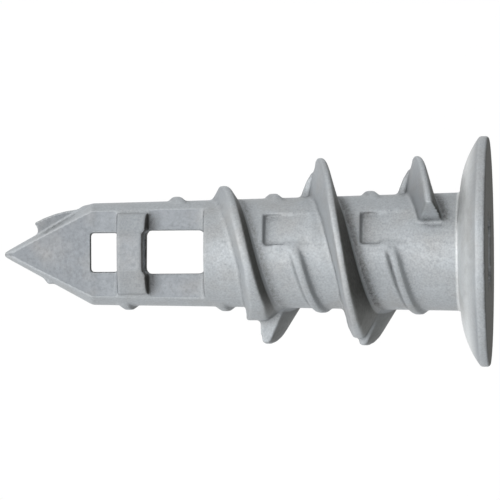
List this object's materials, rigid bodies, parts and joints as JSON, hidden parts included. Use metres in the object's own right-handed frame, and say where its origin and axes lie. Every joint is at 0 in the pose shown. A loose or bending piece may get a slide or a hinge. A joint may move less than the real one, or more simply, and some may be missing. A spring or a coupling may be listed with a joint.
{
  "type": "plasterboard plug",
  "caption": "Self-drilling metal plasterboard plug: flat round head with a cross recess, hollow barrel with a coarse flight, windowed nose and flat drill blade.",
  "frame": {"origin": "centre of the head's flat face", "axes": "+Z along the plug's axis from the head to the drill tip; the die halves part in the plane of X and Z, and the windows open along Y, so -Y is the front"},
  "size_m": [0.0152, 0.0152, 0.032],
  "materials": {
    "cast_zinc": "bare die-cast zinc alloy, dull light grey with a fine grainy skin"
  },
  "bodies": {
    "root": {"plug_body": "cast_zinc"}
  },
  "joints": []
}
